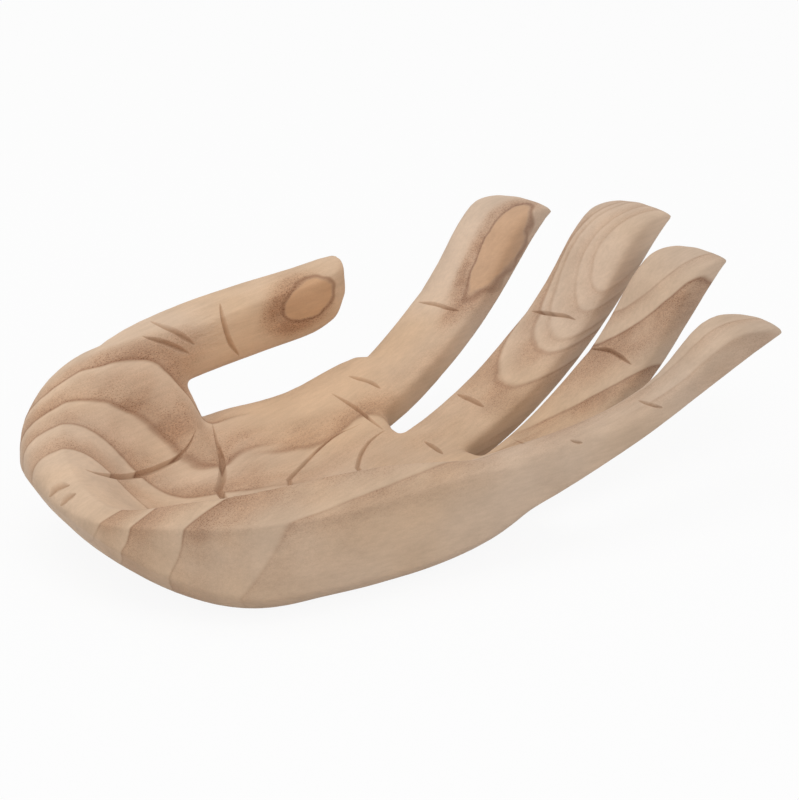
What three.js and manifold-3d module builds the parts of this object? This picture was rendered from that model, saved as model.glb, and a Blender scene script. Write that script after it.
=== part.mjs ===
// A left hand carved palm up from one block of pale open-grained wood, used as a shallow dish.
// Millimetres, +Z up. X runs from the heel of the hand to the fingertips, Y towards the thumb.
import * as THREE from "three";
import { mergeVertices } from "three/addons/utils/BufferGeometryUtils.js";
import Module from "manifold-3d";

// Main sizes: from the heel to the middle fingertip, from the palm's middle line out to the edge
// on the little finger's side and to the ball of the thumb, and the thumb from its buried start to its tip
const HAND_LENGTH = 293;
const LITTLE_REACH = 86;
const THUMB_REACH = 88;
const THUMB_LENGTH = 145.5;

// Felt dots that the hand rests on
const PAD_DIAMETER = 14;
const PAD_THICKNESS = 1.5;
const PAD_EDGE_MARGIN = 4;

// Hollow of the palm: its deepest point in plan, and its floor above the table
const HOLLOW_X = 92;
const HOLLOW_Y = 2;
const FLOOR_HEIGHT = 13;

// Stations round the palm's edge, in plan, from the heel by way of the little finger and the knuckles.
// foot: how far in the flat underside starts, lift: height at which the rounded underside meets the wall,
// wall: top of the wall, crest: top of the rim, bevel: how far in the crest lies,
// round: 0 for a flat bevel and 1 for a rounded rim, drop: fall of the first third of the slope
// that leads down into the hollow, slope: how far that slope reaches in
const EDGE = {
  heel: {
    x: 0, y: 12, foot: 40, lift: 27,
    wall: 32, crest: 35, bevel: 9, round: 0.3, drop: 8, slope: 48,
  },
  heelCorner: {
    x: 8, y: -22, foot: 25, lift: 16,
    wall: 36, crest: 42, bevel: 12, round: 0.1, drop: 14, slope: 44,
  },
  rimBack: {
    x: 25, y: -45, foot: 15, lift: 10,
    wall: 38, crest: 45, bevel: 17, round: 0, drop: 18, slope: 40,
  },
  rimMiddle: {
    x: 55, y: 28 - LITTLE_REACH, foot: 14, lift: 9,
    wall: 37, crest: 45, bevel: 17, round: 0, drop: 18, slope: 34,
  },
  rimFront: {
    x: 90, y: 19 - LITTLE_REACH, foot: 14, lift: 9,
    wall: 38, crest: 45, bevel: 12, round: 0, drop: 18, slope: 36,
  },
  rimEnd: {
    x: 120, y: 11 - LITTLE_REACH, foot: 27, lift: 13,
    wall: 39, crest: 42, bevel: 8, round: 0.1, drop: 16, slope: 42,
  },
  littleSide: {
    x: 143, y: 7 - LITTLE_REACH, foot: 44, lift: 22,
    wall: 34, crest: 37, bevel: 8, round: 0.3, drop: 10, slope: 50,
  },
  littleRoot: {
    x: 158, y: 12 - LITTLE_REACH, foot: 44, lift: 23,
    wall: 28, crest: 31, bevel: 8, round: 0.6, drop: 6, slope: 60,
  },
  ringWeb: {
    x: 163, y: 27 - LITTLE_REACH, foot: 34, lift: 11,
    wall: 16, crest: 20, bevel: 6, round: 1, drop: 1, slope: 64,
  },
  middleWeb: {
    x: 166, y: -22, foot: 24, lift: 8,
    wall: 15, crest: 19, bevel: 6, round: 1, drop: 1, slope: 60,
  },
  indexWeb: {
    x: 165, y: 15, foot: 24, lift: 7,
    wall: 15, crest: 18.5, bevel: 6, round: 1, drop: 1, slope: 60,
  },
  indexRoot: {
    x: 190, y: 49, foot: 50, lift: 20,
    wall: 27, crest: 31, bevel: 5, round: 1, drop: 4.5, slope: 82,
  },
  slotFront: {
    x: 150, y: 56, foot: 30, lift: 12,
    wall: 21, crest: 26.3, bevel: 5, round: 1, drop: 3.5, slope: 58,
  },
  slotMiddle: {
    x: 125, y: 63, foot: 32, lift: 13,
    wall: 21, crest: 25.8, bevel: 6, round: 1, drop: 2.8, slope: 48,
  },
  slotBack: {
    x: 110, y: 69, foot: 34, lift: 16,
    wall: 20.5, crest: 25.2, bevel: 8, round: 1, drop: 2.8, slope: 40,
  },
  slotEnd: {
    x: 111, y: THUMB_REACH - 15, foot: 37, lift: 19,
    wall: 28, crest: 36, bevel: 5, round: 1, drop: 11, slope: 40,
  },
  thumbWeb: {
    x: 104, y: THUMB_REACH - 9, foot: 40, lift: 22,
    wall: 33, crest: 43, bevel: 11, round: 1, drop: 9, slope: 38,
  },
  thumbRoot: {
    x: 85, y: THUMB_REACH - 1, foot: 42, lift: 26,
    wall: 42, crest: 59, bevel: 13, round: 1, drop: 7, slope: 38,
  },
  moundTop: {
    x: 57, y: THUMB_REACH, foot: 42, lift: 28,
    wall: 43, crest: 58, bevel: 15, round: 1, drop: 7, slope: 42,
  },
  moundBack: {
    x: 30, y: THUMB_REACH - 11, foot: 42, lift: 29,
    wall: 37, crest: 49, bevel: 16, round: 1, drop: 7, slope: 46,
  },
  moundHeel: {
    x: 9, y: THUMB_REACH - 39, foot: 44, lift: 32,
    wall: 34, crest: 41, bevel: 12, round: 1, drop: 6, slope: 50,
  },
};
// Each pad sits on the flat underside, in from one of the stations
const PADS = {
  heel_pad_little_side: "rimBack",
  front_pad_little_side: "ringWeb",
  front_pad_thumb_side: "indexRoot",
  heel_pad_thumb_side: "moundBack",
};

// Fingers: sizes they share
const PALMAR_ROUNDNESS = 4;
const BACK_SQUARENESS = 5;
const TIP_EDGE = 1.2;
const CREASE_DEPTH = 0.7;
const CREASE_REACH = 4;
const PULP_REACH = 18;
const PULP_SETBACK = 26;
const TIP_BOW_THUMB_SIDE = 4;
const TIP_BOW_LITTLE_SIDE = 1.2;
const TIP_BOW_REACH = 16;

// Fingers: widths and thicknesses, and how far along the taper from the root ends and the crease lies
const LONG_FINGER = {
  rootWidth: 29, width: 29, tipWidth: 26, rootThickness: 14, thickness: 13.5,
  slimAt: 0.4, crease: 0.62, pulp: 4.5, curl: 19,
};
const LITTLE_FINGER = {
  rootWidth: 12, width: 16, tipWidth: 21.5, rootThickness: 31, thickness: 10,
  slimAt: 0.68, crease: 0.68, pulp: 5.5, curl: 22,
};

// Fingers: the line of the back, from the root past a bend to the tip,
// and the turn of the palmar face towards the little finger, in degrees at the tip
const FINGERS = {
  little: {
    ...LITTLE_FINGER, turn: 1,
    root: [100, 25 - LITTLE_REACH, 6],
    bend: [170, 2 - LITTLE_REACH, 24.8],
    tip: [HAND_LENGTH - 35, -2 - LITTLE_REACH, 58.6],
  },
  ring: {
    ...LONG_FINGER, rootWidth: 23, width: 27.6, thickness: 11.5, turn: 3,
    root: [145, -40, 3],
    bend: [216, -42.8, 9.5],
    tip: [HAND_LENGTH - 9, -36, 67.4],
  },
  middle: {
    ...LONG_FINGER, width: 28.4, tipWidth: 27.4, turn: 2,
    root: [145, -5, 3],
    bend: [217, -7, 8.5],
    tip: [HAND_LENGTH, -0.4, 73.9],
  },
  index: {
    ...LONG_FINGER, rootWidth: 24, width: 27.5, tipWidth: 26, rootThickness: 12, slimAt: 0.3, turn: 4,
    root: [144, 35, 5],
    bend: [212, 36.4, 15.5],
    tip: [HAND_LENGTH - 10, 52.4, 65.2],
  },
};

// Thumb: stations on its centre line as shares of its length, how far in from the ball of the thumb
// they lie, how high, half the thickness there, and how far the wood reaches over and under the line
const THUMB_START = 45;
const THUMB_ROUNDNESS = 3;
const THUMB = [
  { along: 0, inset: 17, height: 39, thick: 7, over: 9, under: 9 },
  { along: 0.24, inset: 11, height: 46, thick: 8.5, over: 14, under: 12 },
  { along: 0.48, inset: 11, height: 49.5, thick: 10.5, over: 13.5, under: 13.5 },
  { along: 0.71, inset: 15, height: 51, thick: 9.5, over: 13.5, under: 13.5 },
  { along: 0.88, inset: 19.5, height: 52.5, thick: 8.5, over: 13, under: 13.3 },
  { along: 0.96, inset: 21.5, height: 53.5, thick: 7, over: 12.8, under: 10.8 },
  { along: 1, inset: 22.5, height: 54, thick: 4.5, over: 12.6, under: 3.5 },
];

// Fineness of the lofts
const EDGE_STEPS = 5;
const SECTION_POINTS = 20;
const FINGER_STEPS = 24;
const THUMB_STEPS = 22;
const PAD_SIDES = 32;

const wasm = await Module();
wasm.setup();

// A closed solid from rings of equally many points, with a fan to the middle of each end ring.
function loft(rings) {
  const count = rings[0].length;
  const points = rings.flat();
  const middle = (ring) => ring.reduce((sum, p) => sum.add(p), new THREE.Vector3()).divideScalar(count);
  const first = points.push(middle(rings[0])) - 1;
  const last = points.push(middle(rings.at(-1))) - 1;
  const end = (rings.length - 1) * count;
  const faces = [];
  for (let i = 0; i < count; i += 1) {
    const next = (i + 1) % count;
    faces.push([first, next, i], [last, end + i, end + next]);
    for (let low = 0; low < end; low += count) {
      const high = low + count;
      faces.push([low + i, low + next, high + next], [low + i, high + next, high + i]);
    }
  }
  const geometry = new THREE.BufferGeometry().setFromPoints(points);
  geometry.setIndex(faces.flat());
  return geometry;
}

function solid(geometry) {
  const merged = mergeVertices(geometry);
  const vertProperties = new Float32Array(merged.attributes.position.array);
  const triVerts = new Uint32Array(merged.index.array);
  return new wasm.Manifold(new wasm.Mesh({ numProp: 3, vertProperties, triVerts }));
}

function meshOf(body, name, material) {
  const { vertProperties, triVerts } = body.getMesh();
  const geometry = new THREE.BufferGeometry();
  geometry.setAttribute("position", new THREE.BufferAttribute(vertProperties, 3));
  geometry.setIndex(new THREE.BufferAttribute(triVerts, 1));
  geometry.computeVertexNormals();
  const mesh = new THREE.Mesh(geometry, material);
  mesh.name = name;
  return mesh;
}

// The stations joined smoothly, each of their sizes by itself, in even steps round the closed edge.
function stepsRoundTheEdge() {
  const stations = Object.values(EDGE);
  const keys = Object.keys(stations[0]);
  const count = stations.length * EDGE_STEPS;
  const curves = keys.map((key) => {
    const points = stations.map((station) => new THREE.Vector3(station[key], 0, 0));
    return new THREE.CatmullRomCurve3(points, true, "catmullrom", 0.5);
  });
  return Array.from({ length: count }, (_, i) => {
    const values = curves.map((curve) => curve.getPoint(i / count).x);
    return Object.fromEntries(keys.map((key, k) => [key, values[k]]));
  });
}

const hollowCentre = new THREE.Vector2(HOLLOW_X, HOLLOW_Y);

// A point on the line from the hollow's centre to an edge station, at a distance in from the edge.
function inFromEdge(edge, inset, height) {
  const plan = new THREE.Vector2(edge.x, edge.y).sub(hollowCentre);
  plan.setLength(plan.length() - inset).add(hollowCentre);
  return new THREE.Vector3(plan.x, plan.y, height);
}

// One line of the palm from the flat underside out to the wall, over the rim and down into the hollow.
function palmProfile(edge) {
  const at = (inset, height) => inFromEdge(edge, inset, height);
  const foot = at(edge.foot, PAD_THICKNESS);
  const lift = at(0, edge.lift);
  const wall = at(0, edge.wall);
  const crest = at(edge.bevel, edge.crest);
  const bevelMiddle = wall.clone().lerp(crest, 0.5);
  const rimCorner = at(0, edge.crest);
  const slopeEnd = edge.bevel + edge.slope;
  const stretches = [
    [new THREE.QuadraticBezierCurve3(foot, at(edge.foot * 0.4, PAD_THICKNESS), lift), 6],
    [new THREE.LineCurve3(lift, wall), 3],
    [new THREE.QuadraticBezierCurve3(wall, bevelMiddle.lerp(rimCorner, edge.round), crest), 5],
    [new THREE.CubicBezierCurve3(
      crest,
      at(edge.bevel + edge.slope / 3, edge.crest - edge.drop),
      at(edge.bevel + edge.slope / 2, FLOOR_HEIGHT),
      at(slopeEnd, FLOOR_HEIGHT)), 12],
  ];
  const line = stretches.flatMap(([curve, steps]) => curve.getPoints(steps).slice(1));
  return [foot, ...line];
}

function palm() {
  const profiles = stepsRoundTheEdge().map(palmProfile);
  return loft(profiles[0].map((_, j) => profiles.map((line) => line[j])));
}

// A closed section, rounded on the side that "up" points to and squarer on the other.
function section(centre, side, up, halfWidth, halfHeight, topExponent, bottomExponent) {
  return Array.from({ length: SECTION_POINTS }, (_, i) => {
    const angle = (2 * Math.PI * i) / SECTION_POINTS;
    const power = 2 / (Math.sin(angle) > 0 ? topExponent : bottomExponent);
    const bow = (value) => Math.sign(value) * Math.abs(value) ** power;
    return centre.clone()
      .addScaledVector(side, halfWidth * bow(Math.cos(angle)))
      .addScaledVector(up, halfHeight * bow(Math.sin(angle)));
  });
}

const bump = (distance, reach) => Math.exp(-((distance / reach) ** 2));

function finger(size) {
  const { degToRad, lerp, smoothstep } = THREE.MathUtils;
  const corners = [size.root, size.bend, size.tip].map((p) => new THREE.Vector3(...p));
  const back = new THREE.QuadraticBezierCurve3(...corners);
  const length = back.getLength();
  const rings = Array.from({ length: FINGER_STEPS + 1 }, (_, i) => {
    const along = Math.sin((Math.PI / 2) * (i / FINGER_STEPS));
    const fromTip = length * (1 - along);
    const tangent = back.getTangentAt(along);
    const level = new THREE.Vector3(-tangent.y, tangent.x, 0).normalize();
    const palmward = new THREE.Vector3().crossVectors(tangent, level);
    const side = level.applyAxisAngle(tangent, degToRad(size.turn * along));
    const up = new THREE.Vector3().crossVectors(tangent, side);
    const slim = smoothstep(along, 0, size.slimAt);
    const full = lerp(size.rootThickness, size.thickness, slim)
      - CREASE_DEPTH * bump(length * (along - size.crease), CREASE_REACH)
      + size.pulp * bump(fromTip - PULP_SETBACK, PULP_REACH);
    const curl = Math.min(1, fromTip / size.curl);
    const thickness = lerp(TIP_EDGE, full, Math.sqrt(1 - (1 - curl) ** 2));
    const rootToBend = lerp(size.rootWidth, size.width, slim);
    const width = lerp(rootToBend, size.tipWidth, smoothstep(along, size.slimAt, 1));
    const palmarMiddle = back.getPointAt(along).addScaledVector(palmward, thickness);
    const centre = palmarMiddle.addScaledVector(up, -thickness / 2);
    const ring = section(centre, side, up, width / 2, thickness / 2, PALMAR_ROUNDNESS, BACK_SQUARENESS);
    const bowed = 1 - smoothstep(fromTip, 0, TIP_BOW_REACH);
    ring.forEach((point) => {
      const across = point.clone().sub(centre).dot(side) / (width / 2);
      const bow = across > 0 ? TIP_BOW_THUMB_SIDE : TIP_BOW_LITTLE_SIDE;
      point.addScaledVector(tangent, -bow * across ** 2 * bowed);
    });
    return ring;
  });
  return loft(rings);
}

function thumb() {
  const line = THUMB.map(({ along, inset, height }) => new THREE.Vector3(
    THUMB_START + along * THUMB_LENGTH, THUMB_REACH - inset, height));
  const spine = new THREE.CatmullRomCurve3(line);
  const halves = THUMB.map(({ thick, over, under }) => new THREE.Vector3(thick, over, under));
  const sizes = new THREE.CatmullRomCurve3(halves);
  const vertical = new THREE.Vector3(0, 0, 1);
  const rings = Array.from({ length: THUMB_STEPS + 1 }, (_, i) => {
    const along = i / THUMB_STEPS;
    const tangent = spine.getTangent(along);
    const side = new THREE.Vector3().crossVectors(vertical, tangent).normalize();
    const up = new THREE.Vector3().crossVectors(tangent, side);
    const { x: thick, y: over, z: under } = sizes.getPoint(along);
    const centre = spine.getPoint(along).addScaledVector(up, (over - under) / 2);
    return section(centre, side, up, thick, (over + under) / 2, THUMB_ROUNDNESS, THUMB_ROUNDNESS);
  });
  return loft(rings);
}

const wood = new THREE.MeshStandardMaterial({ color: 0xc3a17f, roughness: 0.75, metalness: 0 });
const felt = new THREE.MeshStandardMaterial({ color: 0x6b5a48, roughness: 1, metalness: 0 });

function pad(edge, name) {
  const geometry = new THREE.CylinderGeometry(PAD_DIAMETER / 2, PAD_DIAMETER / 2, PAD_THICKNESS, PAD_SIDES);
  geometry.rotateX(Math.PI / 2);
  const mesh = new THREE.Mesh(geometry, felt);
  mesh.name = name;
  mesh.position.copy(inFromEdge(edge, edge.foot + PAD_EDGE_MARGIN + PAD_DIAMETER / 2, PAD_THICKNESS / 2));
  return mesh;
}

const digits = [thumb(), ...Object.values(FINGERS).map(finger)];
const hand = digits.reduce((body, digit) => body.add(solid(digit)), solid(palm()));

const model = new THREE.Group();
model.add(meshOf(hand, "carved_hand", wood));
Object.entries(PADS).forEach(([name, station]) => model.add(pad(EDGE[station], name)));

// The origin lies on the table, under the middle of the hand's overall box
const middle = new THREE.Box3().setFromObject(model).getCenter(new THREE.Vector3());
model.position.set(-middle.x, -middle.y, 0);

export default model;
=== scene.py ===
"""A left hand carved palm up from one block of pale open-grained wood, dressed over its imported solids.

The wood is a finer copy of the solid: its joins are faired as a carver would sand them, and the palm
lines and finger creases are cut into it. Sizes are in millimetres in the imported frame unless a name
says otherwise.
"""
import math

import bmesh
import bpy
import numpy as np
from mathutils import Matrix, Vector, noise
from mathutils.bvhtree import BVHTree
from mathutils.kdtree import KDTree


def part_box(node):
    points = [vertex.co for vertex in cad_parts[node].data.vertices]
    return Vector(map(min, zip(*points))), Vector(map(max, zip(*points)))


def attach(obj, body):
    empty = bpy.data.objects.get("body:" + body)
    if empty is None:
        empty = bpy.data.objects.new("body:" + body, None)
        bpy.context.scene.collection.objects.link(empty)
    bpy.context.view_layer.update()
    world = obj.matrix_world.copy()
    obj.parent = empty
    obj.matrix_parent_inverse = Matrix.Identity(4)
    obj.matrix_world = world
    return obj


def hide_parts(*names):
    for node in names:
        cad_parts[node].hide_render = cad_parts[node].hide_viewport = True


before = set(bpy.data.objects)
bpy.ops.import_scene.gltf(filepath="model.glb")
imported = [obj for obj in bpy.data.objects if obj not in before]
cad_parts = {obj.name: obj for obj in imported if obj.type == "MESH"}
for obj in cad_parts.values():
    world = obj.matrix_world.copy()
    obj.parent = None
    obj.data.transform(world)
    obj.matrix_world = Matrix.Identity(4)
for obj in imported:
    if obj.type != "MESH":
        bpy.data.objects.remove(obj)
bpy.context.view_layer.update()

MM = 0.001

# The photograph's frame and the camera that fits it
IMAGE_WIDTH = 799
IMAGE_HEIGHT = 800
CAMERA_AZIMUTH = math.radians(-48)
CAMERA_ELEVATION = math.radians(22)
CAMERA_DISTANCE = 2500
CAMERA_TARGET = Vector((-7.0, -6.2, 43.1))
PIXELS_PER_MM = 2.707
SENSOR_WIDTH = 36

# Fairing of the wood: filled seams between its forms, and facets evened out where it is flat
VOXEL = 0.7
SEAM_ANGLE = math.radians(10)
SEAM_SPACING = 1.5
SEAM_REACH = 16
SEAM_SHARE_OF_GAP = 0.45
SEAM_ROUNDS = 160
SEAM_STEP = 0.6
NORMAL_UPDATE = 8
FLATNESS_ROUNDS = 20
FLATNESS_RANGE = (0.86, 0.95)
FAIRING_ROUNDS = 60
FAIRING_IN = 0.5
FAIRING_OUT = -0.515
SANDING_ROUNDS = 3
SANDING_STEP = 0.4
WAVE_LENGTH = 24
WAVE_DEPTH = 0.2
RIPPLE_LENGTH = 8
RIPPLE_DEPTH = 0.05
FACET_HEIGHT = 1.5

# The thumb's upper edge, planed to a narrow flat
FLAT_POINT = np.array((3, 71, 61.9))
FLAT_NORMAL = np.array((-0.11, -0.612, 0.784))
FLAT_REACH = (30, 42)
FLAT_DEPTH = 2

# Carved lines: pixels of the photograph on their way, then points in plan where it can't see them
CREASES = {
    "life_line": {
        "seen": [(196, 430), (190, 444), (178, 458), (154, 470), (126, 477), (100, 474), (84, 469)],
        "width": 3.0, "depth": 1.5,
    },
    "head_line": {
        "seen": [(212, 423), (217, 442), (222, 462), (222, 478), (218, 490)],
        "beyond": [(-76, 11), (-83, -9), (-85, -25)],
        "width": 3.4, "depth": 1.8,
    },
    "heart_line": {
        "seen": [(362, 423), (354, 427), (337, 435), (320, 448), (306, 462), (289, 479)],
        "beyond": [(-56, 1), (-67, -15), (-73, -29)],
        "width": 2.1, "depth": 1.2,
    },
    "ring_line": {
        "seen": [(386, 430), (379, 434), (369, 442), (361, 454), (357, 467)],
        "beyond": [(-25, -9), (-25, -23)],
        "width": 2.1, "depth": 1.2,
    },
    "index_base": {
        "seen": [(331, 393), (348, 403), (362, 413), (376, 424), (384, 430)],
        "width": 2.1, "depth": 1.2,
    },
    "index_middle": {"seen": [(348, 376), (364, 380), (372, 383), (381, 389)], "width": 2.4, "depth": 1.4},
    "index_end": {"seen": [(418, 302), (435, 304), (448, 308), (460, 311)], "width": 2.2, "depth": 1.4},
    "middle_base": {"seen": [(424, 441), (434, 447), (443, 454)], "width": 2.2, "depth": 1.4},
    "middle_middle": {"seen": [(457, 394), (472, 400), (484, 407)], "width": 2.5, "depth": 1.5},
    "middle_end": {"seen": [(531, 311), (550, 314), (565, 316), (576, 320)], "width": 2.2, "depth": 1.4},
    "ring_base": {"seen": [(512, 439), (527, 445)], "width": 1.8, "depth": 1.1},
    "ring_end": {"seen": [(590, 349), (607, 350), (618, 355), (632, 365)], "width": 2.2, "depth": 1.4},
    "little_end": {"seen": [(638, 400), (650, 404), (663, 408)], "width": 2.0, "depth": 1.1},
    "thumb_joint": {"seen": [(220, 303), (224, 322), (230, 342), (239, 356)], "width": 2.7, "depth": 1.5},
    "thumb_root_upper": {"seen": [(150, 321), (172, 330), (195, 345)], "width": 3.0, "depth": 1.5},
    "thumb_root_lower": {"seen": [(142, 336), (165, 343), (190, 354)], "width": 2.7, "depth": 1.4},
    "little_base": {"seen": [(570, 440), (577, 442), (583, 443)], "width": 1.8, "depth": 0.9},
    "rim_notch_upper": {"seen": [(49, 497), (54, 490), (61, 486), (70, 485)], "width": 4.4, "depth": 1.3},
    "rim_notch_lower": {"seen": [(60, 506), (67, 498), (76, 493)], "width": 3.8, "depth": 1.1},
}
CREASE_STEPS = 80
CREASE_SPACING = 0.3
CREASE_TAPER = 0.3
CREASE_TAPER_POWER = 0.6
CREASE_CUTS = 3
CREASE_MARGIN = 1.6

# Growth rings by part of the hand: radius round the pith, strength and width of the porous band
PITH_POINT = Vector((3.2, 3.3, 58.3))
PITH_RISE_Y = -0.183
PITH_RISE_Z = 0.128
HEEL_RINGS = [(20, 0.8, 11), (32, 0.85, 17), (50, 0.85, 20), (71, 0.4, 12)]
THUMB_RINGS = [(28, 0.65, 10), (40.2, 0.8, 8), (49.1, 1, 8.5), (58.6, 0.9, 7)]
PALM_RINGS = [(38, 0.4, 6), (47.5, 0.7, 7)]
LITTLE_RINGS = [(70, 0.3, 6), (79, 0.25, 6)]
RING_RINGS = [(20, 0.4, 5), (28.5, 1, 16), (47, 0.8, 9)]
MIDDLE_RINGS = [(15.5, 0.25, 4), (20, 0.25, 5), (26, 0.3, 2), (28.7, 0.55, 5), (34.7, 0.6, 8)]
INDEX_RINGS = [(47.5, 0.3, 6)]
RING_SCALE = 100
RING_EDGE = 0.8
RING_LINE = 0.62
RING_BOW = 2
RING_BOW_LENGTHS = (80, 45, 45)
RING_WIGGLE = 0.9
RING_WIGGLE_LENGTHS = (14, 7, 7)
THUMB_FROM_Y = (5, 35)
PALM_FROM_X = (-45, -15)
BEVEL_FROM_Z = (26, 37)
WALL_SHARE = 0.45
FINGERS_FROM_X = (20, 60)
RING_FINGER_FROM_Y = (-62, -57)
MIDDLE_FROM_Y = (-20, -16)
INDEX_FROM_Y = (18, 24)

# Ovals where a tip is cut along a ring, and the way in which the band outside each one leans
OVALS = [
    {
        "middle": Vector((22.3, 66, 55.6)),
        "half": Vector((13, 14, 7.4)),
        "turn": Vector((0, math.radians(-5), 0)),
        "lean": Vector((-0.55, 0, -0.15)),
    },
    {
        "middle": Vector((103.5, 42.2, 60.6)),
        "half": Vector((26.5, 5.7, 14)),
        "turn": Vector((0, math.radians(-33), math.radians(9.7))),
        "lean": Vector((-0.15, 0.55, 0)),
    },
]
OVAL_LINE = (0.85, 1.0, 1.12)
OVAL_BAND = (0.9, 1.95)
OVAL_COVER = (1.3, 2.3)
OVAL_WIGGLE = 0.3
OVAL_WIGGLE_LENGTHS = (9, 6, 6)

# Colours of the wood as they read on screen, 0 to 255, and the share that each takes
PALE_WOOD = (208, 183, 160)
MIDDLING_WOOD = (195, 164, 139)
EARLY_WOOD = (174, 137, 110)
OVAL_WOOD = (193, 154, 121)
OVAL_SHARE = 0.85
LINE_WOOD = (148, 112, 88)
LINE_SHARE = 0.75
WARM_TINT = (253, 241, 222)
PORE_TINT = (190, 164, 142)
# the carved lines' darkening: partly dirt, partly painted shade
GROOVE_DUST_AND_SHADE_TINT = (190, 165, 142)
GROOVE_DUST_AND_SHADE_SHARE = 0.6
STREAK_SHARE = 0.8

# Where the wood is warmer, and where painted light makes it paler towards the thumb and darker towards the
# near side
WARM_FROM_X = (-45, -5)
WARM_TO_X = (55, 95)
WARM_FROM_Y = (-70, -35)
WARM_AT_ROOTS = 0.45
WARM_AT_HEEL = 0.2
WARM_IN_WAVES = 0.35
WARM_WAVE_LENGTHS = (55, 40, 40)
# painted light: the tone runs from darker at the near side to paler towards the thumb
PAINTED_FALLOFF_FROM_Y = (-85, 85)
PAINTED_FALLOFF_TONE = (0.93, 1.11)

# Grain of the wood: its wavelengths along, across and over, and its pores
PATCH_LENGTHS = (26, 14, 14)
MOTTLE_LENGTHS = (20, 11, 11)
FIBRE_LENGTHS = (26, 1.2, 1.2)
SPECKLE_LENGTHS = (0.8, 0.4, 0.4)
PORE_SPACING = (1.3, 0.45, 0.45)
PORE_EDGE = (0.1, 0.4)
PORE_CROWD_LENGTHS = (12, 8, 8)
PORE_LEAST = 0.02
FIBRE_HEIGHT = 0.35
PORE_HEIGHT = 0.8
GOUGE_HEIGHT = -1.6
WOOD_BUMP_STRENGTH = 0.3
WOOD_BUMP_HEIGHT = 0.25

# Marks of a small gouge left on the thumb's root
GOUGED_PLACE = Vector((-28.2, 71.5, 55.1))
GOUGED_REACH = (6, 11)
GOUGE_SPACING = (5, 2.2, 1.3)

# Felt dots
FELT_SIDES = 64
FELT_EDGE = 0.35
FELT_EDGE_DROP = 0.3
FELT_FUZZ = 0.12
FELT_DARK = (84, 68, 54)
FELT_PALE = (128, 108, 88)
FELT_HAIR_LENGTHS = (0.5, 0.5, 0.5)
FELT_CLUMP_LENGTHS = (2.5, 2.5, 1.5)
FELT_BUMP_STRENGTH = 0.6
FELT_BUMP_HEIGHT = 0.2

# Lamps and floor: place, size across and power in watts
KEY_PLACE = Vector((-300, 250, 1350))
KEY_SIZE = 1200
KEY_POWER = 7
FILL_PLACE = Vector((-500, -1300, 800))
FILL_SIZE = 1200
FILL_POWER = 6
WORLD_LIGHT = 0.58
FLOOR_SIZE = 6000
FLOOR_DROP = 0.1
FLOOR_GREY = 0.75
FLOOR_WHITE_SHARE = 0.92


def srgb(red, green, blue):
    """A colour as it reads on screen, 0 to 255, in the linear values that shaders take."""
    def linear(value):
        share = value / 255
        return share / 12.92 if share <= 0.04045 else ((share + 0.055) / 1.055) ** 2.4
    return (linear(red), linear(green), linear(blue), 1)


# Camera
def camera_axes():
    """The directions in which the camera looks, and its right and up."""
    level = math.cos(CAMERA_ELEVATION)
    look = Vector((
        -math.sin(CAMERA_AZIMUTH) * level,
        math.cos(CAMERA_AZIMUTH) * level,
        -math.sin(CAMERA_ELEVATION),
    ))
    right = Vector((math.cos(CAMERA_AZIMUTH), math.sin(CAMERA_AZIMUTH), 0))
    return look, right, right.cross(look)


def camera_place():
    look, _, _ = camera_axes()
    return (CAMERA_TARGET - look * CAMERA_DISTANCE) * MM


def pixel_ray(column, row):
    """The direction from the camera through a pixel of the photograph."""
    look, right, up = camera_axes()
    focal_pixels = PIXELS_PER_MM * CAMERA_DISTANCE
    across = right * (column - IMAGE_WIDTH / 2)
    down = up * (row - IMAGE_HEIGHT / 2)
    return (look * focal_pixels + across - down).normalized()


def add_camera():
    data = bpy.data.cameras.new("camera")
    data.sensor_width = SENSOR_WIDTH
    data.lens = PIXELS_PER_MM * CAMERA_DISTANCE * SENSOR_WIDTH / max(IMAGE_WIDTH, IMAGE_HEIGHT)
    data.clip_end = 20
    camera = bpy.data.objects.new("camera", data)
    camera.location = camera_place()
    look, _, _ = camera_axes()
    camera.rotation_euler = look.to_track_quat("-Z", "Y").to_euler()
    bpy.context.scene.collection.objects.link(camera)
    bpy.context.scene.camera = camera


# Wood: shape
def link(name, mesh):
    piece = bpy.data.objects.new(name, mesh)
    bpy.context.scene.collection.objects.link(piece)
    return piece


def seam_samples(mesh):
    """Points along the hollow edges of the solid, where one form runs into another, each with the reach
    of the rounding there, which is less where another form stands close by."""
    bm = bmesh.new()
    bm.from_mesh(mesh)
    bmesh.ops.remove_doubles(bm, verts=bm.verts, dist=0.001 * MM)
    bm.normal_update()
    surface = BVHTree.FromBMesh(bm)
    samples = []
    for edge in bm.edges:
        if len(edge.link_faces) != 2 or edge.calc_face_angle_signed() > -SEAM_ANGLE:
            continue
        start, end = (vert.co for vert in edge.verts)
        outward = (edge.link_faces[0].normal + edge.link_faces[1].normal).normalized()
        above = start.lerp(end, 0.5) + outward * SEAM_SPACING * MM
        clear = surface.ray_cast(above, outward)[3]
        reach = SEAM_REACH * MM
        if clear is not None:
            reach = min(reach, SEAM_SHARE_OF_GAP * clear + SEAM_SPACING * MM)
        steps = max(1, round(edge.calc_length() / (SEAM_SPACING * MM)))
        samples.extend((start.lerp(end, step / steps), reach) for step in range(steps + 1))
    bm.free()
    return samples


def tree_of(points):
    tree = KDTree(len(points))
    for index, point in enumerate(points):
        tree.insert(point, index)
    tree.balance()
    return tree


def voxel_copy(source):
    """A closed mesh of even small squares over the same surface."""
    rough = link("rough_hand", source.data.copy())
    remesh = rough.modifiers.new("remesh", "REMESH")
    remesh.mode = "VOXEL"
    remesh.voxel_size = VOXEL * MM
    depsgraph = bpy.context.evaluated_depsgraph_get()
    mesh = bpy.data.meshes.new_from_object(rough.evaluated_get(depsgraph))
    bpy.data.objects.remove(rough)
    return mesh


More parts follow.
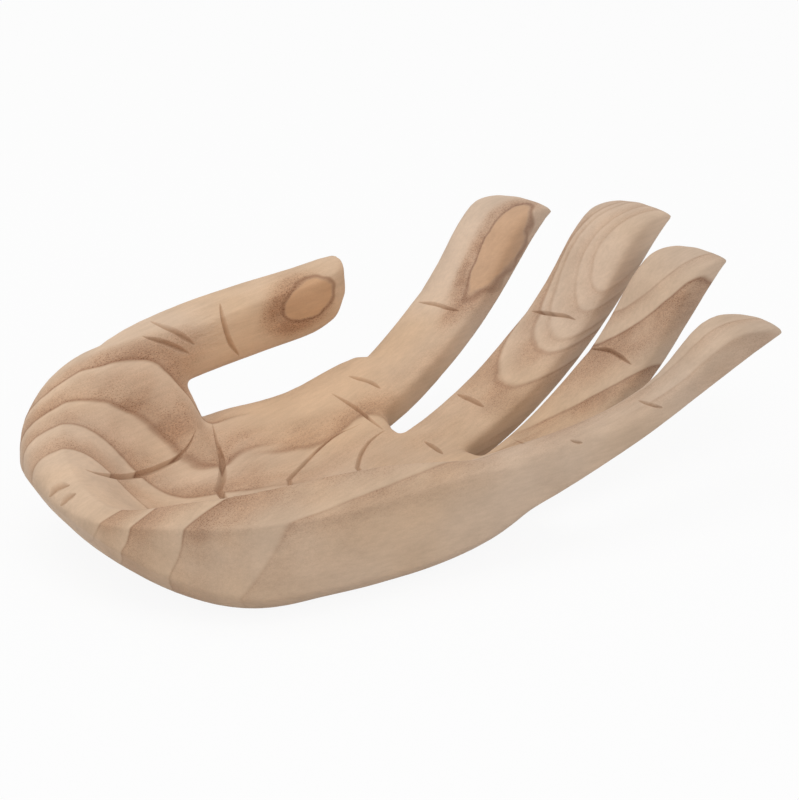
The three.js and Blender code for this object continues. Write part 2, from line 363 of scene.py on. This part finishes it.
class Surface:
    """The points of a mesh of squares, with what is needed to smooth them."""

    def __init__(self, mesh):
        self.mesh = mesh
        self.points = np.empty(len(mesh.vertices) * 3)
        mesh.vertices.foreach_get("co", self.points)
        self.points = self.points.reshape(-1, 3)
        pairs = np.empty(len(mesh.edges) * 2, np.int32)
        mesh.edges.foreach_get("vertices", pairs)
        self.near, self.far = pairs.reshape(-1, 2).T
        squares = np.empty(len(mesh.loops), np.int32)
        mesh.loops.foreach_get("vertex_index", squares)
        self.squares = squares.reshape(-1, 4)
        count = len(self.points)
        degree = np.bincount(self.near, minlength=count) + np.bincount(self.far, minlength=count)
        self.degree = degree[:, None]

    def middles(self, values):
        """The mean of each point's neighbours."""
        count = len(values)
        columns = []
        for column in values.T:
            total = np.bincount(self.near, column[self.far], count)
            total += np.bincount(self.far, column[self.near], count)
            columns.append(total)
        return np.stack(columns, axis=1) / self.degree

    def relax(self, share):
        """Moves each point a share of the way to the middle of its neighbours."""
        self.points = self.points + (self.middles(self.points) - self.points) * share

    def fill(self, share, normals):
        """Moves them likewise, but never inwards."""
        move = (self.middles(self.points) - self.points) * share
        outward = np.einsum("ij,ij->i", move, normals)
        self.points = self.points + move - normals * np.minimum(outward, 0)[:, None]

    def normals(self):
        first, second, third, fourth = (self.points[self.squares[:, corner]] for corner in range(4))
        faces = np.cross(third - first, fourth - second)
        count = len(self.points)
        total = np.zeros_like(self.points)
        for corner in range(4):
            for axis in range(3):
                total[:, axis] += np.bincount(self.squares[:, corner], faces[:, axis], count)
        return total / np.linalg.norm(total, axis=1, keepdims=True)

    def write(self):
        self.mesh.vertices.foreach_set("co", self.points.ravel())
        self.mesh.update()


def smooth(value, low, high):
    share = np.clip((value - low) / (high - low), 0, 1)
    return share ** 2 * (3 - 2 * share)


def fill_seams(surface, seams):
    """Fills the hollow seams where the forms meet, without wearing down the forms themselves."""
    tree = tree_of([point for point, _ in seams])
    found = [tree.find(point) for point in surface.points]
    gap = np.array([distance / seams[index][1] for _, index, distance in found])
    weight = smooth(1 - gap, 0, 1)[:, None]
    for count in range(SEAM_ROUNDS):
        if count % NORMAL_UPDATE == 0:
            normals = surface.normals()
        surface.fill(SEAM_STEP * weight, normals)


def even_facets(surface):
    """Evens out the facets where the surface is nearly flat, and leaves edges and tips as they are."""
    normals = surface.normals()
    for _ in range(FLATNESS_ROUNDS):
        normals = surface.middles(normals)
    weight = smooth(np.linalg.norm(normals, axis=1), *FLATNESS_RANGE)[:, None]
    for _ in range(FAIRING_ROUNDS):
        surface.relax(FAIRING_IN * weight)
        surface.relax(FAIRING_OUT * weight)


def plane_thumb(surface):
    """Planes the thumb's upper edge down to a flat that runs out at both ends."""
    offset = surface.points / MM - FLAT_POINT
    height = offset @ FLAT_NORMAL
    near = 1 - smooth(np.linalg.norm(offset, axis=1), *FLAT_REACH)
    cut = np.where((height > 0) & (height < FLAT_DEPTH), height * near, 0)
    surface.points = surface.points - FLAT_NORMAL * cut[:, None] * MM


def sand(surface):
    """Takes off the sharpness of every edge."""
    for _ in range(SANDING_ROUNDS):
        surface.relax(SANDING_STEP)


def spline(points, steps):
    """Points on a smooth line through the given ones."""
    ends = [points[0] * 2 - points[1], *points, points[-1] * 2 - points[-2]]
    line = []
    for step in range(steps + 1):
        place = step / steps * (len(points) - 1)
        first = min(int(place), len(points) - 2)
        share = place - first
        a, b, c, d = ends[first:first + 4]
        line.append(0.5 * (
            b * 2
            + (c - a) * share
            + (a * 2 - b * 5 + c * 4 - d) * share ** 2
            + (b * 3 - a - c * 3 + d) * share ** 3
        ))
    return line


def crease_line(crease, surface):
    """A crease's course on the wood, first as the photograph sees it and then as seen from above."""
    place = camera_place()
    seen = spline([Vector(pixel) for pixel in crease["seen"]], CREASE_STEPS)
    hits = [surface.ray_cast(place, pixel_ray(*pixel))[0] for pixel in seen]
    course = [hit for hit in hits if hit]
    if "beyond" in crease:
        last = course[-1].xy / MM
        hidden = spline([last, *(Vector(point) for point in crease["beyond"])], CREASE_STEPS)
        above = [Vector((*(point * MM), 1)) for point in hidden[1:]]
        hits = [surface.ray_cast(point, Vector((0, 0, -1)))[0] for point in above]
        course.extend(hit for hit in hits if hit)
    return course


def even_samples(course):
    """The course in even short steps, each with its share of the whole length."""
    lengths = [0]
    for start, end in zip(course, course[1:]):
        lengths.append(lengths[-1] + (end - start).length)
    steps = max(2, round(lengths[-1] / (CREASE_SPACING * MM)))
    wanted = np.linspace(0, lengths[-1], steps + 1)
    columns = [np.interp(wanted, lengths, [point[axis] for point in course]) for axis in range(3)]
    shares = wanted / lengths[-1]
    return [(Vector(point), share) for *point, share in zip(*columns, shares)]


def carve(mesh):
    """Cuts the palm lines and finger creases as V grooves that run out at both ends."""
    bm = bmesh.new()
    bm.from_mesh(mesh)
    surface = BVHTree.FromBMesh(bm)
    samples = []
    for crease in CREASES.values():
        for point, share in even_samples(crease_line(crease, surface)):
            taper = min(1, share / CREASE_TAPER, (1 - share) / CREASE_TAPER) ** CREASE_TAPER_POWER
            samples.append((point, crease["width"] * taper * MM / 2, crease["depth"] * taper * MM))
    tree = tree_of([point for point, _, _ in samples])
    widest = max(crease["width"] for crease in CREASES.values())
    reach = CREASE_MARGIN * widest / 2 * MM + VOXEL * MM
    near = [face for face in bm.faces if tree.find(face.calc_center_median())[2] < reach]
    edges = list({edge for face in near for edge in face.edges})
    bmesh.ops.subdivide_edges(bm, edges=edges, cuts=CREASE_CUTS, use_grid_fill=True)
    bm.normal_update()
    shade = bm.verts.layers.float.new("groove")
    for vert in bm.verts:
        _, index, gap = tree.find(vert.co)
        _, half_width, depth = samples[index]
        if gap < half_width:
            share = 1 - gap / half_width
            vert[shade] = share
            vert.co -= vert.normal * depth * share
    bm.to_mesh(mesh)
    bm.free()


def wave(point, length, depth):
    return noise.noise(point / (length * MM)) * depth * MM


def hand_finish(mesh):
    """The slight unevenness of a surface sanded by hand; the resting face stays flat."""
    normals = [normal.vector.copy() for normal in mesh.vertex_normals]
    for vert, normal in zip(mesh.vertices, normals):
        ripple = wave(vert.co, WAVE_LENGTH, WAVE_DEPTH) + wave(vert.co, RIPPLE_LENGTH, RIPPLE_DEPTH)
        vert.co += normal * ripple
        vert.co.z = max(vert.co.z, FACET_HEIGHT * MM)
    mesh.update()


def make_hand():
    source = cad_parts["carved_hand"]
    mesh = voxel_copy(source)
    surface = Surface(mesh)
    fill_seams(surface, seam_samples(source.data))
    even_facets(surface)
    plane_thumb(surface)
    sand(surface)
    surface.write()
    carve(mesh)
    hand_finish(mesh)
    mesh.shade_smooth()
    mesh.materials.clear()
    mesh.materials.append(wood_material())
    hand = link("hand", mesh)
    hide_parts("carved_hand")
    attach(hand, "root")


# Shader helpers
def feed(tree, socket, value):
    if isinstance(value, bpy.types.NodeSocket):
        tree.links.new(value, socket)
    else:
        socket.default_value = value


def calc(tree, operation, *values):
    node = tree.nodes.new("ShaderNodeMath")
    node.operation = operation
    for socket, value in zip(node.inputs, values):
        feed(tree, socket, value)
    return node.outputs[0]


def vector_calc(tree, operation, *values):
    node = tree.nodes.new("ShaderNodeVectorMath")
    node.operation = operation
    for socket, value in zip(node.inputs, values):
        feed(tree, socket, value)
    return node.outputs["Value" if operation in ("LENGTH", "DISTANCE") else "Vector"]


def noise_value(tree, place, wavelengths, detail=2.0):
    """Noise from 0 to 1, with its own wavelength in millimetres along each axis."""
    scaled = vector_calc(tree, "DIVIDE", place, Vector(wavelengths))
    node = tree.nodes.new("ShaderNodeTexNoise")
    node.inputs["Scale"].default_value = 1
    node.inputs["Detail"].default_value = detail
    tree.links.new(scaled, node.inputs["Vector"])
    return node.outputs["Fac"]


def ramp(tree, value, stops):
    node = tree.nodes.new("ShaderNodeValToRGB")
    elements = node.color_ramp.elements
    while len(elements) < len(stops):
        elements.new(1)
    for element, (position, colour) in zip(elements, stops):
        element.position = position
        element.color = colour
    tree.links.new(value, node.inputs["Fac"])
    return node.outputs["Color"]


def mix(tree, kind, share, first, second):
    node = tree.nodes.new("ShaderNodeMix")
    node.data_type = "RGBA"
    node.blend_type = kind
    feed(tree, node.inputs[0], share)
    feed(tree, node.inputs[6], first)
    feed(tree, node.inputs[7], second)
    return node.outputs[2]


def grey(value):
    return (value, value, value, 1)


def new_material(name):
    material = bpy.data.materials.new(name)
    material.use_nodes = True
    tree = material.node_tree
    return material, tree, tree.nodes["Principled BSDF"]


def place_in_mm(tree):
    node = tree.nodes.new("ShaderNodeTexCoord")
    return vector_calc(tree, "MULTIPLY", node.outputs["Object"], Vector((1 / MM,) * 3))


def split(tree, place):
    """A place's three parts: along the hand, across it and over the table."""
    node = tree.nodes.new("ShaderNodeSeparateXYZ")
    tree.links.new(place, node.inputs[0])
    return node.outputs["X"], node.outputs["Y"], node.outputs["Z"]


def tint(tree, share, colour, other):
    return mix(tree, "MULTIPLY", share, colour, other)


def add_bump(tree, shader, height, strength, distance):
    bump = tree.nodes.new("ShaderNodeBump")
    bump.inputs["Strength"].default_value = strength
    bump.inputs["Distance"].default_value = distance * MM
    tree.links.new(height, bump.inputs["Height"])
    tree.links.new(bump.outputs["Normal"], shader.inputs["Normal"])


def seen_directly(tree):
    """1 for what the camera sees by itself, in a gloss or through glass, and 0 for light that falls."""
    path = tree.nodes.new("ShaderNodeLightPath")
    seen = calc(tree, "MAXIMUM", path.outputs["Is Camera Ray"], path.outputs["Is Glossy Ray"])
    return calc(tree, "MAXIMUM", seen, path.outputs["Is Transmission Ray"])


def smooth_step(tree, value, low, high):
    node = tree.nodes.new("ShaderNodeMapRange")
    node.interpolation_type = "SMOOTHSTEP"
    feed(tree, node.inputs["Value"], value)
    node.inputs["From Min"].default_value = low
    node.inputs["From Max"].default_value = high
    return node.outputs["Result"]


def blend(tree, share, first, second):
    node = tree.nodes.new("ShaderNodeMix")
    feed(tree, node.inputs[0], share)
    feed(tree, node.inputs[2], first)
    feed(tree, node.inputs[3], second)
    return node.outputs[0]


# Wood: material
def ring_radius(tree, place):
    """Distance from the pith, with the slow waves of a grown stem."""
    along, across, over = split(tree, place)
    along = calc(tree, "SUBTRACT", along, PITH_POINT.x)
    pith_y = calc(tree, "MULTIPLY_ADD", along, PITH_RISE_Y, PITH_POINT.y)
    pith_z = calc(tree, "MULTIPLY_ADD", along, PITH_RISE_Z, PITH_POINT.z)
    across = calc(tree, "SUBTRACT", across, pith_y)
    over = calc(tree, "SUBTRACT", over, pith_z)
    squares = calc(tree, "ADD", calc(tree, "MULTIPLY", across, across), calc(tree, "MULTIPLY", over, over))
    radius = calc(tree, "SQRT", squares)
    bow = calc(tree, "SUBTRACT", noise_value(tree, place, RING_BOW_LENGTHS, 0), 0.5)
    radius = calc(tree, "MULTIPLY_ADD", bow, RING_BOW, radius)
    wiggle = calc(tree, "SUBTRACT", noise_value(tree, place, RING_WIGGLE_LENGTHS, 1), 0.5)
    return calc(tree, "MULTIPLY_ADD", wiggle, RING_WIGGLE, radius)


def curve(tree, radius, stops):
    """A value that runs straight from stop to stop over the radius."""
    node = tree.nodes.new("ShaderNodeFloatCurve")
    points = node.mapping.curves[0].points
    points[0].location = (0, 0)
    points[1].location = (1, 0)
    for place, value in stops:
        points.new(place / RING_SCALE, value)
    for point in points:
        point.handle_type = "VECTOR"
    node.mapping.update()
    tree.links.new(calc(tree, "DIVIDE", radius, RING_SCALE), node.inputs["Value"])
    return node.outputs["Value"]


def ring_lines(tree, radius, rings):
    """The thin dark line at the start of each ring."""
    stops = []
    for ring, strength, _ in rings:
        stops += [(ring - RING_EDGE, 0), (ring, strength), (ring + RING_LINE, 0)]
    return curve(tree, radius, stops)


def ring_bands(tree, radius, rings):
    """The porous early wood outside each line, fading outwards."""
    stops = []
    for ring, strength, width in rings:
        stops += [(ring - RING_EDGE / 2, 0), (ring, strength), (ring + width, 0)]
    return curve(tree, radius, stops)


def oval_distance(tree, place, oval):
    """How far out a place lies from an oval, which is 1 all along it, and the same leaning to one side."""
    turned = tree.nodes.new("ShaderNodeVectorRotate")
    turned.rotation_type = "EULER_XYZ"
    turned.invert = True
    turned.inputs["Rotation"].default_value = oval["turn"]
    tree.links.new(vector_calc(tree, "SUBTRACT", place, oval["middle"]), turned.inputs["Vector"])
    shares = vector_calc(tree, "DIVIDE", turned.outputs["Vector"], oval["half"])
    wiggle = calc(tree, "SUBTRACT", noise_value(tree, place, OVAL_WIGGLE_LENGTHS, 1), 0.5)
    away = calc(tree, "MULTIPLY_ADD", wiggle, OVAL_WIGGLE, vector_calc(tree, "LENGTH", shares))
    return away, vector_calc(tree, "LENGTH", vector_calc(tree, "SUBTRACT", shares, oval["lean"]))


def growth(tree, place):
    """The dark lines, the porous bands and the clear wood inside the ovals, each as a share at a place."""
    along, across, over = split(tree, place)
    radius = ring_radius(tree, place)
    thumb = smooth_step(tree, across, *THUMB_FROM_Y)
    fingers = smooth_step(tree, along, *FINGERS_FROM_X)
    layers = [
        (THUMB_RINGS, thumb),
        (PALM_RINGS, calc(tree, "MULTIPLY", thumb, smooth_step(tree, along, *PALM_FROM_X))),
        (LITTLE_RINGS, fingers),
        (RING_RINGS, calc(tree, "MULTIPLY", fingers, smooth_step(tree, across, *RING_FINGER_FROM_Y))),
        (MIDDLE_RINGS, calc(tree, "MULTIPLY", fingers, smooth_step(tree, across, *MIDDLE_FROM_Y))),
        (INDEX_RINGS, calc(tree, "MULTIPLY", fingers, smooth_step(tree, across, *INDEX_FROM_Y))),
    ]
    bevel = smooth_step(tree, over, *BEVEL_FROM_Z)
    clear = calc(tree, "MULTIPLY_ADD", bevel, 1 - WALL_SHARE, WALL_SHARE)
    line = calc(tree, "MULTIPLY", clear, ring_lines(tree, radius, HEEL_RINGS))
    band = calc(tree, "MULTIPLY", clear, ring_bands(tree, radius, HEEL_RINGS))
    for rings, share in layers:
        line = blend(tree, share, line, ring_lines(tree, radius, rings))
        band = blend(tree, share, band, ring_bands(tree, radius, rings))
    inside = 0
    inner, middle, outer = OVAL_LINE
    for oval in OVALS:
        away, leaning = oval_distance(tree, place, oval)
        past = smooth_step(tree, away, inner, middle)
        beyond = smooth_step(tree, away, *OVAL_COVER)
        oval_line = calc(tree, "SUBTRACT", past, smooth_step(tree, away, middle, outer))
        oval_band = calc(tree, "SUBTRACT", 1, smooth_step(tree, leaning, *OVAL_BAND))
        line = blend(tree, beyond, oval_line, line)
        band = blend(tree, beyond, calc(tree, "MULTIPLY", oval_band, past), band)
        inside = calc(tree, "MAXIMUM", inside, calc(tree, "SUBTRACT", 1, past))
    return line, band, inside


def pores(tree, place, early):
    """Open pores, crowded in patches of the early wood and few elsewhere."""
    scaled = vector_calc(tree, "DIVIDE", place, Vector(PORE_SPACING))
    cells = tree.nodes.new("ShaderNodeTexVoronoi")
    cells.inputs["Scale"].default_value = 1
    tree.links.new(scaled, cells.inputs["Vector"])
    pore = calc(tree, "SUBTRACT", 1, smooth_step(tree, cells.outputs["Distance"], *PORE_EDGE))
    patch = noise_value(tree, place, PORE_CROWD_LENGTHS)
    crowd = calc(tree, "MULTIPLY", early, calc(tree, "MULTIPLY_ADD", patch, 3, -0.6))
    crowd = calc(tree, "MULTIPLY_ADD", crowd, 1.5, PORE_LEAST)
    crowd = calc(tree, "MINIMUM", calc(tree, "MAXIMUM", crowd, PORE_LEAST), 1)
    return calc(tree, "MULTIPLY", pore, crowd)


def gouge_marks(tree, place):
    """Short scooped strokes, deepest in the middle of the gouged place."""
    offset = vector_calc(tree, "SUBTRACT", place, GOUGED_PLACE)
    away = vector_calc(tree, "LENGTH", offset)
    near = calc(tree, "SUBTRACT", 1, smooth_step(tree, away, *GOUGED_REACH))
    strokes = smooth_step(tree, noise_value(tree, place, GOUGE_SPACING, 1), 0.35, 0.6)
    return calc(tree, "MULTIPLY", near, strokes)


def warm_share(tree, place):
    """How warm the wood is: most at the roots of the fingers and on the thumb, less at the heel."""
    along, across, _ = split(tree, place)
    rise = smooth_step(tree, along, *WARM_FROM_X)
    fall = calc(tree, "SUBTRACT", 1, smooth_step(tree, along, *WARM_TO_X))
    side = smooth_step(tree, across, *WARM_FROM_Y)
    roots = calc(tree, "MULTIPLY", calc(tree, "MULTIPLY", rise, fall), side)
    waves = smooth_step(tree, noise_value(tree, place, WARM_WAVE_LENGTHS), 0.3, 0.7)
    warm = calc(tree, "MULTIPLY_ADD", roots, WARM_AT_ROOTS, calc(tree, "MULTIPLY", waves, WARM_IN_WAVES))
    return calc(tree, "MULTIPLY_ADD", calc(tree, "SUBTRACT", 1, rise), WARM_AT_HEEL, warm)


def painted_light_falloff(tree, place):
    """Painted light: the wood is made a little paler towards the thumb and darker towards the near side, as
    the light falls across the hand.
    """
    _, across, _ = split(tree, place)
    dark, pale = PAINTED_FALLOFF_TONE
    share = smooth_step(tree, across, *PAINTED_FALLOFF_FROM_Y)
    return ramp(tree, share, [(0, grey(dark)), (1, grey(pale))])


def wood_colour(tree, place, early, line, inside):
    """The wood's colour from its rings and ovals, warmer by place and painted paler towards the thumb as
    light falls there, before the grain.
    """
    colour = ramp(tree, early, [
        (0.0, srgb(*PALE_WOOD)),
        (0.4, srgb(*MIDDLING_WOOD)),
        (1.0, srgb(*EARLY_WOOD)),
    ])
    colour = mix(tree, "MIX", calc(tree, "MULTIPLY", inside, OVAL_SHARE), colour, srgb(*OVAL_WOOD))
    colour = mix(tree, "MIX", calc(tree, "MULTIPLY", line, LINE_SHARE), colour, srgb(*LINE_WOOD))
    colour = tint(tree, warm_share(tree, place), colour, srgb(*WARM_TINT))
    # painted light: paler towards the thumb, darker towards the near side
    return tint(tree, 1.0, colour, painted_light_falloff(tree, place))


def grained(tree, place, colour, early, fibre, pore):
    """A colour with the mottle, fibre, speckle and pores of the grain, and the carved lines darkened,
    partly as dirt and partly as painted shade.
    """
    mottle = noise_value(tree, place, MOTTLE_LENGTHS, 3)
    colour = tint(tree, 1.0, colour, ramp(tree, mottle, [(0.3, grey(0.9)), (0.65, grey(1.03))]))
    streak = ramp(tree, fibre, [(0.3, grey(0.9)), (0.7, grey(1.01))])
    colour = tint(tree, STREAK_SHARE, colour, streak)
    sand_grain = smooth_step(tree, noise_value(tree, place, SPECKLE_LENGTHS, 1), 0.35, 0.65)
    speckle = ramp(tree, sand_grain, [(0, grey(0.78)), (1, grey(1.06))])
    colour = tint(tree, calc(tree, "MULTIPLY_ADD", early, 0.9, 0.12), colour, speckle)
    colour = tint(tree, pore, colour, srgb(*PORE_TINT))
    # painted shade, with some dirt: the carved lines are darkened by their depth share
    groove = tree.nodes.new("ShaderNodeAttribute")
    groove.attribute_name = "groove"
    groove_dust_and_shade = calc(tree, "MULTIPLY", groove.outputs["Fac"], GROOVE_DUST_AND_SHADE_SHARE)
    return tint(tree, groove_dust_and_shade, colour, srgb(*GROOVE_DUST_AND_SHADE_TINT))


def wood_material():
    material, tree, shader = new_material("wood")
    place = place_in_mm(tree)
    line, band, inside = growth(tree, place)
    patches = smooth_step(tree, noise_value(tree, place, PATCH_LENGTHS), 0.3, 0.65)
    early = calc(tree, "MULTIPLY", band, calc(tree, "MULTIPLY_ADD", patches, 0.65, 0.35))
    fibre = noise_value(tree, place, FIBRE_LENGTHS, 3)
    pore = pores(tree, place, early)
    colour = wood_colour(tree, place, early, line, inside)
    colour = grained(tree, place, colour, early, fibre, pore)
    tree.links.new(colour, shader.inputs["Base Color"])
    shader.inputs["Roughness"].default_value = 0.66
    shader.inputs["Specular IOR Level"].default_value = 0.3
    raised = calc(tree, "MULTIPLY", fibre, FIBRE_HEIGHT)
    height = calc(tree, "SUBTRACT", raised, calc(tree, "MULTIPLY", pore, PORE_HEIGHT))
    height = calc(tree, "MULTIPLY_ADD", gouge_marks(tree, place), GOUGE_HEIGHT, height)
    add_bump(tree, shader, height, WOOD_BUMP_STRENGTH, WOOD_BUMP_HEIGHT)
    return material


# Felt dots: material and shape
def felt_material():
    material, tree, shader = new_material("felt")
    place = place_in_mm(tree)
    hairs = noise_value(tree, place, FELT_HAIR_LENGTHS, 4)
    clumps = noise_value(tree, place, FELT_CLUMP_LENGTHS, 2)
    colour = ramp(tree, hairs, [(0.3, srgb(*FELT_DARK)), (0.7, srgb(*FELT_PALE))])
    shade = ramp(tree, clumps, [(0.3, grey(0.8)), (0.7, grey(1))])
    tree.links.new(tint(tree, 0.7, colour, shade), shader.inputs["Base Color"])
    shader.inputs["Roughness"].default_value = 1
    shader.inputs["Specular IOR Level"].default_value = 0.1
    shader.inputs["Sheen Weight"].default_value = 0.3
    add_bump(tree, shader, hairs, FELT_BUMP_STRENGTH, FELT_BUMP_HEIGHT)
    return material


def felt_ring(bm, centre, radius, share, height):
    """A ring of points at a share of the radius, frayed a little at the outside."""
    ring = []
    for side in range(FELT_SIDES):
        angle = 2 * math.pi * side / FELT_SIDES
        out = Vector((math.cos(angle), math.sin(angle), 0))
        fray = noise.noise((centre + out * radius) / MM) * FELT_FUZZ * MM * share ** 4
        place = Vector((centre.x, centre.y, height)) + out * (radius * share - abs(fray))
        ring.append(bm.verts.new(place))
    return ring


def make_felt(node, material):
    """A pressed felt dot with soft edges and a frayed outline, in the place of its solid."""
    low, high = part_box(node)
    centre = (low + high) / 2
    radius = (high.x - low.x) / 2
    edge = FELT_EDGE * MM
    drop = FELT_EDGE_DROP * edge
    shares = [0.5, 1 - 2 * edge / radius, 1 - edge / radius, 1]
    profile = list(zip(shares, (low.z, low.z, low.z + drop, low.z + edge)))
    profile += list(zip(shares, (high.z, high.z, high.z - drop, high.z - edge)))[::-1]
    bm = bmesh.new()
    rings = [felt_ring(bm, centre, radius, share, height) for share, height in profile]
    for lower, upper in zip(rings, rings[1:]):
        for side in range(FELT_SIDES):
            after = (side + 1) % FELT_SIDES
            bm.faces.new((lower[side], lower[after], upper[after], upper[side]))
    for ring, height in ((rings[0], low.z), (rings[-1], high.z)):
        middle = bm.verts.new((centre.x, centre.y, height))
        for side in range(FELT_SIDES):
            bm.faces.new((ring[side], ring[(side + 1) % FELT_SIDES], middle))
    bmesh.ops.recalc_face_normals(bm, faces=bm.faces)
    mesh = bpy.data.meshes.new("felt_" + node)
    bm.to_mesh(mesh)
    bm.free()
    mesh.shade_smooth()
    mesh.materials.append(material)
    felt = link("felt_" + node, mesh)
    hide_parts(node)
    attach(felt, "root")


def make_felts():
    material = felt_material()
    for node in sorted(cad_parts):
        if "_pad_" in node:
            make_felt(node, material)


# Stage
def floor_material():
    """Pale floor that the camera sees as white, apart from the object's shadow."""
    material, tree, shader = new_material("floor")
    shader.inputs["Base Color"].default_value = grey(FLOOR_GREY)
    shader.inputs["Roughness"].default_value = 0.9
    white = tree.nodes.new("ShaderNodeEmission")
    white.inputs["Color"].default_value = grey(1)
    both = tree.nodes.new("ShaderNodeMixShader")
    tree.links.new(calc(tree, "MULTIPLY", seen_directly(tree), FLOOR_WHITE_SHARE), both.inputs["Fac"])
    tree.links.new(shader.outputs["BSDF"], both.inputs[1])
    tree.links.new(white.outputs["Emission"], both.inputs[2])
    tree.links.new(both.outputs["Shader"], tree.nodes["Material Output"].inputs["Surface"])
    return material


def make_floor():
    bm = bmesh.new()
    bmesh.ops.create_grid(bm, x_segments=1, y_segments=1, size=FLOOR_SIZE * MM / 2)
    mesh = bpy.data.meshes.new("floor")
    bm.to_mesh(mesh)
    bm.free()
    mesh.materials.append(floor_material())
    floor = link("floor", mesh)
    floor.location.z = -FLOOR_DROP * MM


def add_lamp(name, place, size, power):
    data = bpy.data.lights.new(name, "AREA")
    data.shape = "DISK"
    data.size = size * MM
    data.energy = power
    lamp = bpy.data.objects.new(name, data)
    lamp.location = place * MM
    lamp.rotation_euler = (CAMERA_TARGET - place).to_track_quat("-Z", "Y").to_euler()
    bpy.context.scene.collection.objects.link(lamp)


def light_world():
    world = bpy.data.worlds.new("studio")
    bpy.context.scene.world = world
    world.use_nodes = True
    tree = world.node_tree
    background = tree.nodes["Background"]
    background.inputs["Color"].default_value = grey(1)
    strength = calc(tree, "MULTIPLY_ADD", seen_directly(tree), 1 - WORLD_LIGHT, WORLD_LIGHT)
    tree.links.new(strength, background.inputs["Strength"])


add_camera()
make_hand()
make_felts()
make_floor()
add_lamp("key", KEY_PLACE, KEY_SIZE, KEY_POWER)
add_lamp("fill", FILL_PLACE, FILL_SIZE, FILL_POWER)
light_world()
bpy.context.scene.view_settings.view_transform = "Standard"
